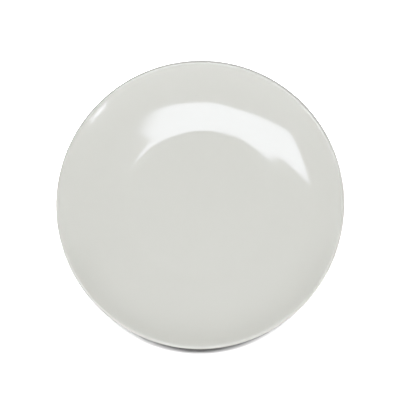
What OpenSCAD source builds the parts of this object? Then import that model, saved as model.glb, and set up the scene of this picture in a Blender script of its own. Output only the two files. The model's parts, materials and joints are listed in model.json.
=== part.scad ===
// Coupe dinner plate, turned about the Z axis and standing on its foot at z = 0.
// A level well turns up in a short curve and then sweeps in one long arc to a round lip,
// with no separate rim. The back follows the same sweep down to a low foot ring.
// Sizes are in millimetres.

/* [Plate] */
// Diameter over the lip
plate_d = 270; // [240:1:320]
// Height from the table to the top of the lip
plate_h = 23; // [18:0.5:32]
// Diameter of the level well
well_d = 130; // [100:1:150]
// Thickness of the well
well_t = 5; // [3.6:0.1:7]
// Radius of the short curve round the well's edge
well_edge_r = 60; // [30:1:120]
// Width of that curve, from where it is level to where the long sweep starts
well_edge_w = 5; // [2:0.5:9]
// Thickness of the wall where it rounds into the lip
lip_t = 3.8; // [2.4:0.1:5]
// Radius of the soft shoulder that turns the face over into the lip
shoulder_r = 5; // [3:0.5:9]

/* [Foot] */
// Diameter along the middle of the flat ring that touches the table
foot_d = 152; // [120:1:180]
// Width of that flat ring
foot_w = 3; // [1.5:0.1:6]
// Depth of the recess inside the foot
foot_h = 2.4; // [1.4:0.1:4]
// Radius of the foot's two bare edges
foot_edge_r = 1.2; // [0.6:0.1:2]
// Radius of the fillets between the foot and the back
foot_fillet_r = 2.6; // [1:0.1:5]

/* [Glaze] */
// Thickness of the fired glaze
glaze_t = 0.3; // [0.2:0.05:0.6]

/* [Hidden] */
clay_colour = "#ebe5d9";
glaze_colour = "#d6d7d2";
// Widest gap between a true arc and its chords
chord_gap = 0.005;
// Points closer than this are one point
same_point = 0.0001;
$fn = 240;

// All outlines lie in the plane of radius and height, and every curve is a circular arc.
// Angles are in degrees from the outward radius, turning towards +Z.
function heading(from, to) = atan2(to.y - from.y, to.x - from.x);

function arc(centre, radius, start, end) =
    let (step = 2 * acos(1 - chord_gap / radius))
    let (chords = max(1, ceil(abs(end - start) / step)))
    [for (i = [0:chords])
        let (angle = start + (end - start) * i / chords)
        centre + radius * [cos(angle), sin(angle)]];

// Strings arcs and points into one path, without the doubled points where they meet
function joined(pieces) =
    let (points = [for (piece = pieces) each piece])
    [for (i = [0:len(points) - 1])
        if (i == 0 || norm(points[i] - points[i - 1]) > same_point) points[i]];

function reversed(path) = [for (i = [len(path) - 1:-1:0]) path[i]];

// The point at distance ra from a and rb from b, on the right going from a to b
function meeting_point(a, ra, b, rb) =
    let (gap = norm(b - a))
    let (along = (b - a) / gap)
    let (ahead = (gap * gap + ra * ra - rb * rb) / (2 * gap))
    a + ahead * along + sqrt(ra * ra - ahead * ahead) * [along.y, -along.x];

// The lip is a round that reaches the plate's diameter and its height, and the shoulder is a wider
// round that takes over from it at the top
lip_r = lip_t / 2;
lip_c = [plate_d / 2 - lip_r, plate_h - lip_r];
shoulder_c = [lip_c.x, plate_h - shoulder_r];

// The short curve round the well, which leaves it at the slope where both sweeps start
face_z = foot_h + well_t;
edge_c = [well_d / 2, face_z + well_edge_r];
edge_end_a = asin(well_edge_w / well_edge_r) - 90;
sweep_normal = -[cos(edge_end_a), sin(edge_end_a)];

// Radius of an arc that starts at that slope, covers the run to a round's centre and
// touches the round from above (side 1, the face) or from below (side -1, the back)
function sweep_r(run, round_r, side) =
    (run * run - round_r * round_r) / (2 * (run * sweep_normal + side * round_r));

// The face's sweep
face_start = edge_c - well_edge_r * sweep_normal;
face_r = sweep_r(shoulder_c - face_start, shoulder_r, 1);
face_c = face_start + face_r * sweep_normal;
face_end_a = heading(face_c, shoulder_c);

// The back's sweep, which starts one wall's thickness under the face's
back_start = face_start - well_t * sweep_normal;
back_r = sweep_r(lip_c - back_start, lip_r, -1);
back_c = back_start + back_r * sweep_normal;
back_end_a = heading(back_c, lip_c);

// The foot's bare edges, as circles of clay on both sides of the flat
outer_edge_c = [(foot_d + foot_w) / 2, foot_edge_r];
inner_edge_c = [(foot_d - foot_w) / 2, foot_edge_r];

// The foot's fillets, as circles of air that touch an edge and the back or the recess.
// A foot too tall for that gets an upright flank between the edge and the fillet.
fillet_reach = foot_edge_r + glaze_t + foot_fillet_r;
outer_touching_c = meeting_point(outer_edge_c, fillet_reach, back_c, back_r + foot_fillet_r);
outer_upright_x = outer_edge_c.x + fillet_reach;
outer_upright_z = back_c.y - sqrt(pow(back_r + foot_fillet_r, 2) - pow(outer_upright_x - back_c.x, 2));
outer_upright = outer_upright_z > foot_edge_r;
outer_fillet_c = outer_upright ? [outer_upright_x, outer_upright_z] : outer_touching_c;
outer_flank_a = outer_upright ? 0 : heading(outer_edge_c, outer_fillet_c);

inner_fillet_z = foot_h - foot_fillet_r;
inner_drop = max(0, foot_edge_r - inner_fillet_z);
inner_fillet_x = inner_edge_c.x - sqrt(fillet_reach * fillet_reach - inner_drop * inner_drop);
inner_fillet_c = [inner_fillet_x, inner_fillet_z];
inner_flank_a = asin(inner_drop / fillet_reach);

// The coated surface from the foot's outer flank round the back, the lip and the face to
// the middle. A depth of 0 is the finished surface, and glaze_t is the clay under it.
function coat_path(depth) = joined([
    arc(outer_fillet_c, foot_fillet_r + depth, outer_flank_a + 180, heading(outer_fillet_c, back_c)),
    arc(back_c, back_r - depth, heading(back_c, outer_fillet_c), back_end_a),
    arc(lip_c, lip_r - depth, back_end_a, 0),
    arc(lip_c, lip_r - depth, 0, 90),
    arc(shoulder_c, shoulder_r - depth, 90, face_end_a + 180),
    arc(face_c, face_r + depth, face_end_a, edge_end_a),
    arc(edge_c, well_edge_r + depth, edge_end_a, -90),
    [[0, face_z - depth]]
]);

// The recess from its middle to the foot's inner flank, by depth in the same way
function recess_path(depth) = joined([
    [[0, foot_h + depth]],
    arc(inner_fillet_c, foot_fillet_r + depth, 90, inner_flank_a)
]);

// The fired body, with its foot in one piece and bare clay where it touches the table
module clay_body() {
    color(clay_colour)
        rotate_extrude()
            polygon(joined([
                recess_path(glaze_t),
                arc(inner_edge_c, foot_edge_r, inner_flank_a + 180, 270),
                arc(outer_edge_c, foot_edge_r, -90, outer_flank_a),
                coat_path(glaze_t)
            ]));
}

// The glaze over the face, the lip and the back, which stops on the foot's outer flank
module glaze_coat() {
    color(glaze_colour)
        rotate_extrude()
            polygon(joined([coat_path(0), reversed(coat_path(glaze_t))]));
}

// The glaze in the recess, cut off from the rest by the bare foot
module recess_glaze() {
    color(glaze_colour)
        rotate_extrude()
            polygon(joined([recess_path(0), reversed(recess_path(glaze_t))]));
}

clay_body();
glaze_coat();
recess_glaze();
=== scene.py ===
import json
import math

import bpy
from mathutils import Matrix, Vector, noise


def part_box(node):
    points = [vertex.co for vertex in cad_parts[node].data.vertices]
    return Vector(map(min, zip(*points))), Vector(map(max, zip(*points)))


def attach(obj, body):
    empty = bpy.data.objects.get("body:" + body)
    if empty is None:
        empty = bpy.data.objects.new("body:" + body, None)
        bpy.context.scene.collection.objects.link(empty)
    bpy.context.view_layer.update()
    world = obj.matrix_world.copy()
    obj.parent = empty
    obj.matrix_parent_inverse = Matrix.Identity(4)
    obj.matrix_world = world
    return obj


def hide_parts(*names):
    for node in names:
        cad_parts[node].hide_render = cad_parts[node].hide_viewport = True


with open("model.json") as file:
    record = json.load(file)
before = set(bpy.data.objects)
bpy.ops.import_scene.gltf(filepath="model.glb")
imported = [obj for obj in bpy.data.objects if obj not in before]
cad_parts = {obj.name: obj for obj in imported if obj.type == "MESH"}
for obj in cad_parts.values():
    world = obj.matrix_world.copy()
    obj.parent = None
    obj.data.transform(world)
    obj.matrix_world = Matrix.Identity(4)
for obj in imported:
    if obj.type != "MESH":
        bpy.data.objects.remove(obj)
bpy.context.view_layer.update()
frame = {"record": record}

# Clay body: white porcelain that a roller spreads over a mould, fired in one piece with its foot.
# The glaze hides it all but for the foot's wiped ring, a matt cream band that stands on the table.
mm = 0.001
plate_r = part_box("glaze_coat")[1].x
plate_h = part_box("glaze_coat")[1].z
foot_r = frame["record"]["mounts"][0]["pos_m"][0]
well_r = 65 * mm
well_t = 5 * mm
well_edge_r = 60 * mm
well_edge_w = 5 * mm
lip_r = 1.9 * mm
shoulder_r = 5 * mm
foot_w = 3 * mm
foot_h = 2.4 * mm
foot_edge_r = 1.2 * mm
foot_fillet_r = 2.6 * mm
glaze_t = 0.3 * mm

up = math.radians(90)
down = math.radians(-90)
half_turn = math.radians(180)
fine = 1.5 * mm
coarse = 5 * mm
widest_bend = math.radians(9)


def heading(start, end):
    """Angle of the way from start to end, in the plane of radius and height."""
    return math.atan2(end.y - start.y, end.x - start.x)


def arc(centre, radius, start, end, spacing):
    """Points along an arc, at most spacing and widest_bend apart."""
    steps = max(1, math.ceil(abs(end - start) / min(spacing / radius, widest_bend)))
    angles = [start + (end - start) * i / steps for i in range(steps + 1)]
    return [centre + radius * Vector((math.cos(a), math.sin(a))) for a in angles]


def straight(start, end, spacing):
    """Points along a straight stretch, at most spacing apart."""
    steps = max(1, math.ceil((end - start).length / spacing))
    return [start.lerp(end, i / steps) for i in range(steps + 1)]


# The profile's arcs: a level well, a short curve at its edge, a long sweep, a shoulder and a round lip
lip_c = Vector((plate_r - lip_r, plate_h - lip_r))
shoulder_c = Vector((lip_c.x, plate_h - shoulder_r))
face_z = foot_h + well_t
edge_c = Vector((well_r, face_z + well_edge_r))
edge_end = down + math.asin(well_edge_w / well_edge_r)
sweep_normal = -Vector((math.cos(edge_end), math.sin(edge_end)))


def sweep_radius(start, round_c, round_r, side):
    """Radius of the arc from start to a round, over it for side 1 and under it for side -1."""
    run = round_c - start
    return (run.dot(run) - round_r ** 2) / (2 * (run.dot(sweep_normal) + side * round_r))


face_start = edge_c - well_edge_r * sweep_normal
face_r = sweep_radius(face_start, shoulder_c, shoulder_r, 1)
face_c = face_start + face_r * sweep_normal
face_end = heading(face_c, shoulder_c)
back_start = face_start - well_t * sweep_normal
back_r = sweep_radius(back_start, lip_c, lip_r, -1)
back_c = back_start + back_r * sweep_normal
back_end = heading(back_c, lip_c)

# The foot's two bare edges are rounds of clay, and its fillets are rounds of air
outer_edge_c = Vector((foot_r + foot_w / 2, foot_edge_r))
inner_edge_c = Vector((foot_r - foot_w / 2, foot_edge_r))
fillet_reach = foot_edge_r + glaze_t + foot_fillet_r
to_back = back_c - outer_edge_c
back_reach = back_r + foot_fillet_r
ahead = (to_back.length ** 2 + fillet_reach ** 2 - back_reach ** 2) / (2 * to_back.length)
aside = math.sqrt(fillet_reach ** 2 - ahead ** 2)
along = to_back.normalized()
outer_fillet_c = outer_edge_c + ahead * along + aside * Vector((along.y, -along.x))
outer_flank = heading(outer_edge_c, outer_fillet_c)
inner_drop = foot_edge_r + foot_fillet_r - foot_h
inner_flank = math.asin(inner_drop / fillet_reach)
inner_fillet_x = inner_edge_c.x - fillet_reach * math.cos(inner_flank)
inner_fillet_c = Vector((inner_fillet_x, foot_h - foot_fillet_r))


def coat_path(depth, spacing):
    """The glazed outside from the foot's outer flank to the middle of the face, at a depth below
    the finished surface: none is the glaze's own skin and glaze_t is the clay under it."""
    fillet_end = heading(outer_fillet_c, back_c)
    well_start = Vector((well_r, face_z - depth))
    well_middle = Vector((0, face_z - depth))
    return [
        *arc(outer_fillet_c, foot_fillet_r + depth, outer_flank + half_turn, fillet_end, spacing),
        *arc(back_c, back_r - depth, fillet_end - half_turn, back_end, spacing),
        *arc(lip_c, lip_r - depth, back_end, up, spacing),
        *arc(shoulder_c, shoulder_r - depth, up, face_end + half_turn, spacing),
        *arc(face_c, face_r + depth, face_end, edge_end, spacing),
        *arc(edge_c, well_edge_r + depth, edge_end, down, spacing),
        *straight(well_start, well_middle, spacing),
    ]


def recess_path(depth, spacing):
    """The glazed recess from its middle to the foot's inner flank, by depth in the same way."""
    recess_middle = Vector((0, foot_h + depth))
    recess_end = Vector((inner_fillet_c.x, foot_h + depth))
    return [
        *straight(recess_middle, recess_end, spacing),
        *arc(inner_fillet_c, foot_fillet_r + depth, up, inner_flank, spacing),
    ]


oval = 0.36 * mm
lip_wave = 0.08 * mm
two_waves_turn = 0.7
three_waves_turn = -1.9
three_waves_share = 0.5
waves_lowered_by = 1.7
well_sag = 0.10 * mm
roller_ripple = 0.012 * mm
roller_ripple_grain = 28
flat_share_of_foot = 0.6


def fired(point):
    """Where firing leaves a point of the true shape: the round turns oval, the lip waves, the well sags
    and the face ripples. The lip waves down from its true height, and the foot stays flat."""
    radius = math.hypot(point.x, point.y)
    angle = math.atan2(point.y, point.x)
    stretch = 1 + math.sin(2 * angle) * oval / plate_r
    out = min(1, max(0, (radius - foot_r) / (plate_r - foot_r)))
    waves = math.cos(2 * angle + two_waves_turn)
    waves += three_waves_share * math.cos(3 * angle + three_waves_turn)
    lip_lift = out * out * (waves - waves_lowered_by) * lip_wave
    inward = max(0, 1 - (radius / well_r) ** 2)
    ripple = noise.noise(Vector((point.x, point.y, 0)) * roller_ripple_grain) * roller_ripple
    clear_of_foot = min(1, max(0, point.z / foot_h - flat_share_of_foot))
    rise = (lip_lift - well_sag * inward ** 2 + ripple) * clear_of_foot
    return Vector((point.x * stretch, point.y * stretch, point.z + rise))


turns = 384
same_point = 1e-7


def turned(name, outline):
    """A closed piece, turned about the plate's axis from a closed outline of radius and height."""
    points = [p for p, q in zip(outline, outline[-1:] + outline[:-1]) if (p - q).length > same_point]
    spots, rings = [], []
    for p in points:
        count = turns if p.x > same_point else 1
        first = len(spots)
        for i in range(count):
            angle = 2 * math.pi * i / turns
            spots.append(fired(Vector((p.x * math.cos(angle), p.x * math.sin(angle), p.y))))
        rings.append([first + i % count for i in range(turns)])
    faces = []
    for ring, following in zip(rings, rings[1:] + rings[:1]):
        for i in range(turns):
            j = (i + 1) % turns
            corners = dict.fromkeys((ring[i], ring[j], following[j], following[i]))
            if len(corners) > 2:
                faces.append(tuple(corners))
    mesh = bpy.data.meshes.new(name)
    mesh.from_pydata(spots, [], faces)
    mesh.shade_smooth()
    piece = bpy.data.objects.new(name, mesh)
    bpy.context.scene.collection.objects.link(piece)
    return piece


def add_node(owner, kind, values=None, **settings):
    """A new shader node of a material or world, with its settings and then its input values by name."""
    made = owner.node_tree.nodes.new(kind)
    for setting, choice in settings.items():
        setattr(made, setting, choice)
    for socket, value in (values or {}).items():
        made.inputs[socket].default_value = value
    return made


def new_finish(name):
    """A material with its shader, its link maker and coordinates fixed to the piece, in metres."""
    material = bpy.data.materials.new(name)
    material.use_nodes = True
    shader = material.node_tree.nodes["Principled BSDF"]
    place = add_node(material, "ShaderNodeTexCoord").outputs["Object"]
    return material, shader, material.node_tree.links.new, place


clay_shade = (0.66, 0.61, 0.53, 1)
clay_cream = (0.80, 0.76, 0.68, 1)
rubbed_grey = (0.45, 0.44, 0.42, 1)


def bare_clay_finish():
    """Fired clay that was wiped and rubbed smooth: matt cream, with fine grain and faint grey rub marks."""
    material, shader, link, place = new_finish("bare_clay")
    grain = add_node(material, "ShaderNodeTexNoise", {"Scale": 1400, "Detail": 5})
    tint = add_node(material, "ShaderNodeValToRGB")
    shade, cream = tint.color_ramp.elements
    shade.position, cream.position = 0.3, 0.7
    shade.color, cream.color = clay_shade, clay_cream
    rub = add_node(material, "ShaderNodeTexNoise", {"Scale": 160, "Detail": 3})
    rub_range = {"From Min": 0.55, "From Max": 0.8, "To Max": 0.5}
    rub_amount = add_node(material, "ShaderNodeMapRange", rub_range)
    worn = add_node(material, "ShaderNodeMix", {"B": rubbed_grey}, data_type="RGBA")
    link(place, grain.inputs["Vector"])
    link(place, rub.inputs["Vector"])
    link(grain.outputs["Fac"], tint.inputs["Fac"])
    link(rub.outputs["Fac"], rub_amount.inputs["Value"])
    link(rub_amount.outputs["Result"], worn.inputs["Factor"])
    link(tint.outputs["Color"], worn.inputs["A"])
    link(worn.outputs["Result"], shader.inputs["Base Color"])
    shader.inputs["Roughness"].default_value = 0.82
    relief = add_node(material, "ShaderNodeBump", {"Strength": 0.6, "Distance": 0.06 * mm})
    link(grain.outputs["Fac"], relief.inputs["Height"])
    link(relief.outputs["Normal"], shader.inputs["Normal"])
    return material


clay = turned("clay_body_fired", [
    *recess_path(glaze_t, coarse),
    *arc(inner_edge_c, foot_edge_r, inner_flank + half_turn, up + half_turn, coarse),
    *arc(outer_edge_c, foot_edge_r, down, outer_flank, coarse),
    *coat_path(glaze_t, coarse),
])
clay.data.materials.append(bare_clay_finish())
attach(clay, "root")
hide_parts("clay_body")

# Glaze coat: a skin of glossy off-white glass, fused on over the face, the lip and the back.
# Grey painted on the lip's outer edge towards +Y stands in for shade there, and the coat ends in a rounded
# bead where the foot was wiped.
bead_reach = glaze_t / foot_edge_r
bead_steps = 6


def bead(edge_c, flank, turn):
    """The coat's rounded end on a foot edge, from its skin down to the clay."""
    ends = []
    for i in range(bead_steps + 1):
        share = i / bead_steps
        radius = foot_edge_r + glaze_t * math.sqrt(1 - share ** 2)
        angle = flank + turn * bead_reach * share
        ends.append(edge_c + radius * Vector((math.cos(angle), math.sin(angle))))
    return ends


glaze_shade = (0.680, 0.678, 0.616, 1)
glaze_white = (0.694, 0.692, 0.628, 1)
# Painted shade: a grey for the lip's outer edge, full from y = 0.85 plate_r and fading out to none at y = 0
# and below.
lip_shade_grey = (0.44, 0.44, 0.42, 1)
lip_shade_start_r = plate_r - 1.9 * mm
lip_shade_full_r = plate_r - 0.5 * mm
lip_shade_full_y = 0.85 * plate_r


def glaze_finish():
    """Off-white glass over porcelain: a soft drift of tone, painted shade in grey on the lip's edge towards
    +Y, a clear gloss and a faint orange peel.
    """
    material, shader, link, place = new_finish("glaze")
    drift = add_node(material, "ShaderNodeTexNoise", {"Scale": 14, "Detail": 2})
    tone = add_node(material, "ShaderNodeMix", {"A": glaze_shade, "B": glaze_white}, data_type="RGBA")
    flat = add_node(material, "ShaderNodeVectorMath", operation="MULTIPLY")
    flat.inputs[1].default_value = (1, 1, 0)
    out = add_node(material, "ShaderNodeVectorMath", operation="LENGTH")
    # Painted shade: the lip's outer edge turns grey towards +Y, the side that faces away from the light.
    lip_shade_range = {"From Min": lip_shade_start_r, "From Max": lip_shade_full_r, "To Max": 0.9}
    lip_shade_by_radius = add_node(material, "ShaderNodeMapRange", lip_shade_range)
    side = add_node(material, "ShaderNodeSeparateXYZ")
    lip_shade_by_y = add_node(material, "ShaderNodeMapRange", {"From Min": 0, "From Max": lip_shade_full_y})
    lip_shade_share = add_node(material, "ShaderNodeMath", operation="MULTIPLY")
    painted_lip_shade = add_node(material, "ShaderNodeMix", {"B": lip_shade_grey}, data_type="RGBA")
    link(place, drift.inputs["Vector"])
    link(drift.outputs["Fac"], tone.inputs["Factor"])
    link(tone.outputs["Result"], painted_lip_shade.inputs["A"])
    link(place, flat.inputs[0])
    link(flat.outputs["Vector"], out.inputs[0])
    link(out.outputs["Value"], lip_shade_by_radius.inputs["Value"])
    link(place, side.inputs["Vector"])
    link(side.outputs["Y"], lip_shade_by_y.inputs["Value"])
    link(lip_shade_by_radius.outputs["Result"], lip_shade_share.inputs[0])
    link(lip_shade_by_y.outputs["Result"], lip_shade_share.inputs[1])
    link(lip_shade_share.outputs["Value"], painted_lip_shade.inputs["Factor"])
    link(painted_lip_shade.outputs["Result"], shader.inputs["Base Color"])
    haze = add_node(material, "ShaderNodeTexNoise", {"Scale": 60, "Detail": 4})
    gloss = add_node(material, "ShaderNodeMapRange", {"To Min": 0.04, "To Max": 0.10})
    link(place, haze.inputs["Vector"])
    link(haze.outputs["Fac"], gloss.inputs["Value"])
    link(gloss.outputs["Result"], shader.inputs["Roughness"])
    peel = add_node(material, "ShaderNodeTexNoise", {"Scale": 220, "Detail": 1})
    relief = add_node(material, "ShaderNodeBump", {"Strength": 0.15, "Distance": 0.02 * mm})
    link(place, peel.inputs["Vector"])
    link(peel.outputs["Fac"], relief.inputs["Height"])
    link(relief.outputs["Normal"], shader.inputs["Normal"])
    shader.inputs["IOR"].default_value = 1.5
    return material


glaze = glaze_finish()
coat = turned("glaze_coat_fired", [
    *coat_path(0, fine),
    *reversed(coat_path(glaze_t, coarse)),
    *arc(outer_edge_c, foot_edge_r, outer_flank, outer_flank - bead_reach, coarse),
    *reversed(bead(outer_edge_c, outer_flank, -1)),
])
coat.data.materials.append(glaze)
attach(coat, "root")
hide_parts("glaze_coat")

# Recess glaze: the same glass inside the foot ring, a round patch that the bare foot cuts off.
# It lies clear of the table by the foot's height and ends in the same rounded bead.
inner_end = inner_flank + half_turn
patch = turned("recess_glaze_fired", [
    *recess_path(0, fine),
    *bead(inner_edge_c, inner_end, 1),
    *arc(inner_edge_c, foot_edge_r, inner_end + bead_reach, inner_end, coarse),
    *reversed(recess_path(glaze_t, coarse)),
])
patch.data.materials.append(glaze)
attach(patch, "root")
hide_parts("recess_glaze")

# Table: a plain white top under the foot, wide enough to fill the view from every side.
# It shows white where it is lit, keeps the plate's shadow, and throws a little light up at the back.
table_half = 6.0
table_drop = 0.02 * mm
table_seen = (0.15, 0.15, 0.15, 1)
table_unseen = (0.02, 0.02, 0.02, 1)
glow_seen = 0.04
glow_unseen = 0.3

corners = [(-1, -1), (1, -1), (1, 1), (-1, 1)]
table_spots = [(x * table_half, y * table_half, -table_drop) for x, y in corners]
table_mesh = bpy.data.meshes.new("table")
table_mesh.from_pydata(table_spots, [], [range(len(corners))])
table = bpy.data.objects.new("table", table_mesh)
bpy.context.scene.collection.objects.link(table)
table_finish, table_shader, table_link, _ = new_finish("table_white")
table_ray = add_node(table_finish, "ShaderNodeLightPath")
table_colours = {"A": table_unseen, "B": table_seen}
table_tone = add_node(table_finish, "ShaderNodeMix", table_colours, data_type="RGBA")
table_glow = add_node(table_finish, "ShaderNodeMapRange", {"To Min": glow_unseen, "To Max": glow_seen})
table_link(table_ray.outputs["Is Camera Ray"], table_tone.inputs["Factor"])
table_link(table_ray.outputs["Is Camera Ray"], table_glow.inputs["Value"])
table_link(table_tone.outputs["Result"], table_shader.inputs["Base Color"])
table_link(table_glow.outputs["Result"], table_shader.inputs["Emission Strength"])
table_shader.inputs["Emission Color"].default_value = (1, 1, 1, 1)
table_shader.inputs["Roughness"].default_value = 1
table_shader.inputs["Specular IOR Level"].default_value = 0
table_mesh.materials.append(table_finish)

# Lamps: a large cloth softbox overhead, whose mirror image is the curved highlight on the face, with its
# inner edge sagging in soft points. A fill, a glint and three low softboxes that show in the gloss alone
# help it, and three suns on the table alone throw the plate's shadow.
plate_group = bpy.data.collections.new("lit_plate")
for piece in (clay, coat, patch):
    plate_group.objects.link(piece)
table_group = bpy.data.collections.new("lit_table")
table_group.objects.link(table)

softbox_z = 4.0
softbox_tint = (0.97, 1, 1.11, 1)
softbox_radiance = 7.05
dim_radiance = 0.15 * softbox_radiance
dim_start_x = 0.52
dim_end_x = 0.92
softbox_outline = [
    (-1.83, -0.35), (-1.58, -1.29), (-0.50, -1.39), (-0.28, -1.49), (0.60, -1.49), (0.88, -1.36),
    (0.86, -0.99), (0.66, -0.80), (0.44, -0.57), (0.47, -0.42), (0.54, -0.30), (0.41, -0.34),
    (0.33, -0.42), (0.12, -0.34), (-0.22, -0.50), (-0.57, -0.38), (-0.95, -0.57), (-1.32, -0.50),
]
softbox_spots = [(x, y, softbox_z) for x, y in softbox_outline]
softbox_mesh = bpy.data.meshes.new("softbox")
softbox_mesh.from_pydata(softbox_spots, [], [range(len(softbox_spots))])
softbox = bpy.data.objects.new("softbox", softbox_mesh)
bpy.context.scene.collection.objects.link(softbox)
softbox_glow = bpy.data.materials.new("softbox_glow")
softbox_glow.use_nodes = True
softbox_glow.node_tree.nodes.clear()
softbox_link = softbox_glow.node_tree.links.new
softbox_place = add_node(softbox_glow, "ShaderNodeTexCoord")
across = add_node(softbox_glow, "ShaderNodeSeparateXYZ")
dim_places = {"From Min": dim_start_x, "From Max": dim_end_x}
dim_levels = {"To Min": softbox_radiance, "To Max": dim_radiance}
dimming = add_node(softbox_glow, "ShaderNodeMapRange", dim_places | dim_levels)
glow = add_node(softbox_glow, "ShaderNodeEmission", {"Color": softbox_tint})
glow_out = add_node(softbox_glow, "ShaderNodeOutputMaterial")
softbox_link(softbox_place.outputs["Object"], across.inputs["Vector"])
softbox_link(across.outputs["X"], dimming.inputs["Value"])
softbox_link(dimming.outputs["Result"], glow.inputs["Strength"])
softbox_link(glow.outputs["Emission"], glow_out.inputs["Surface"])
softbox_mesh.materials.append(softbox_glow)
softbox.visible_camera = False
softbox.light_linking.receiver_collection = plate_group


def lamp(name, place, width, length, radiance, diffuse=True, mirrored=True):
    """An oblong lamp of even radiance that faces the plate's middle and lights the plate alone."""
    data = bpy.data.lights.new(name, "AREA")
    data.shape = "RECTANGLE"
    data.size = width
    data.size_y = length
    data.energy = radiance * math.pi * width * length
    data.color = softbox_tint[:3]
    made = bpy.data.objects.new(name, data)
    made.location = place
    made.rotation_euler = (-Vector(place)).to_track_quat("-Z", "Y").to_euler()
    made.visible_camera = False
    made.visible_diffuse = diffuse
    made.visible_glossy = mirrored
    made.light_linking.receiver_collection = plate_group
    bpy.context.scene.collection.objects.link(made)


lamp("fill", (0.45, -1.60, 1.30), width=1.2, length=1.2, radiance=0.9, mirrored=False)
lamp("glint", (0.87, -0.785, 1.556), width=0.18, length=0.028, radiance=17)

side_reach = 1.856
side_z = 1.67
for turn in (20, 70, 152):
    angle = math.radians(turn)
    side_place = (side_reach * math.cos(angle), side_reach * math.sin(angle), side_z)
    lamp(f"side_softbox_{turn}", side_place, width=0.9, length=0.5, radiance=2.8, diffuse=False)

sun_data = bpy.data.lights.new("table_sun", "SUN")
sun_data.energy = 42.0
sun_data.angle = math.radians(28)
sun_slant = math.radians(-28.5)
for turn in (-38, 0, 38):
    table_sun = bpy.data.objects.new("table_sun", sun_data)
    table_sun.rotation_euler = (sun_slant, 0, math.radians(turn))
    table_sun.light_linking.receiver_collection = table_group
    bpy.context.scene.collection.objects.link(table_sun)

# World: a soft even room, plain white to what looks straight at it. What mirrors it sees white too, but
# for a brighter front with a dimmer band at middle height, and a far side with a dark band there.
room_radiance = 0.683
room_white = (1, 1, 1, 1)
room = bpy.data.worlds.new("room")
bpy.context.scene.world = room
room.use_nodes = True
room.node_tree.nodes.clear()
room_link = room.node_tree.links.new
compass = add_node(room, "ShaderNodeTexCoord")
direction = add_node(room, "ShaderNodeSeparateXYZ")
room_link(compass.outputs["Generated"], direction.inputs["Vector"])


def room_sum(operation, first, second):
    """A sum node of the room's, whose inputs are numbers or other nodes' outputs."""
    made = add_node(room, "ShaderNodeMath", operation=operation)
    for socket, value in zip(made.inputs, (first, second)):
        if isinstance(value, (int, float)):
            socket.default_value = value
        else:
            room_link(value, socket)
    return made.outputs["Value"]


def room_step(axis, start, end, change):
    """A strength from none to change, as the direction's part along an axis goes from start to end."""
    span = {"From Min": start, "From Max": end, "To Min": 0, "To Max": change}
    step = add_node(room, "ShaderNodeMapRange", span, interpolation_type="SMOOTHSTEP")
    room_link(direction.outputs[axis], step.inputs["Value"])
    return step.outputs["Result"]


def room_side(start, end, overhead, *steps):
    """What a side of the room adds to white. It comes in between two parts along Y. It is overhead at the
    top, and on the way down each step of (upper part along Z, lower part, change) changes it."""
    by_height = overhead
    for upper, lower, change in steps:
        by_height = room_sum("ADD", room_step("Z", upper, lower, change), by_height)
    return room_sum("MULTIPLY", room_step("Y", start, end, 1), by_height)


far_side = room_side(0.10, 0.30, 0.3, (0.92, 0.76, -1.25), (0.60, 0.40, 0.9))
front_side = room_side(-0.10, -0.55, 0, (0.92, 0.76, 0.72), (0.66, 0.50, -0.85), (0.42, 0.25, 0.55))
both_sides = room_sum("ADD", far_side, front_side)
lit_room = add_node(room, "ShaderNodeBackground", {"Color": room_white, "Strength": room_radiance})
mirrored_room = add_node(room, "ShaderNodeBackground", {"Color": room_white})
seen_room = add_node(room, "ShaderNodeBackground", {"Color": room_white, "Strength": 1})
room_ray = add_node(room, "ShaderNodeLightPath")
glossy_ray = room_ray.outputs["Is Glossy Ray"]
through_ray = room_ray.outputs["Is Transmission Ray"]
mirrored_ray = room_sum("MAXIMUM", glossy_ray, through_ray)
lit_or_mirrored = add_node(room, "ShaderNodeMixShader")
whole_room = add_node(room, "ShaderNodeMixShader")
room_out = add_node(room, "ShaderNodeOutputWorld")
room_link(room_sum("ADD", both_sides, 1), mirrored_room.inputs["Strength"])
room_link(mirrored_ray, lit_or_mirrored.inputs[0])
room_link(lit_room.outputs["Background"], lit_or_mirrored.inputs[1])
room_link(mirrored_room.outputs["Background"], lit_or_mirrored.inputs[2])
room_link(room_ray.outputs["Is Camera Ray"], whole_room.inputs[0])
room_link(lit_or_mirrored.outputs["Shader"], whole_room.inputs[1])
room_link(seen_room.outputs["Background"], whole_room.inputs[2])
room_link(whole_room.outputs["Shader"], room_out.inputs["Surface"])

# Camera: straight above the plate, with a long lens two metres up, square to the face.
# The plate's radius and middle in the photograph's pixels set the lens and the place.
image_px = 400
plate_px = 144.4
plate_centre_px = Vector((200.3, 204.75))
camera_z = 2.0
metres_per_px = plate_r / plate_px
offset_px = plate_centre_px - Vector((image_px / 2, image_px / 2))
camera_data = bpy.data.cameras.new("camera")
camera_data.sensor_width = 36
camera_data.lens = camera_data.sensor_width * (camera_z - lip_c.y) / (image_px * metres_per_px)
camera = bpy.data.objects.new("camera", camera_data)
camera.location = (-offset_px.x * metres_per_px, offset_px.y * metres_per_px, camera_z)
bpy.context.scene.collection.objects.link(camera)
bpy.context.scene.camera = camera
bpy.context.scene.view_settings.view_transform = "Standard"
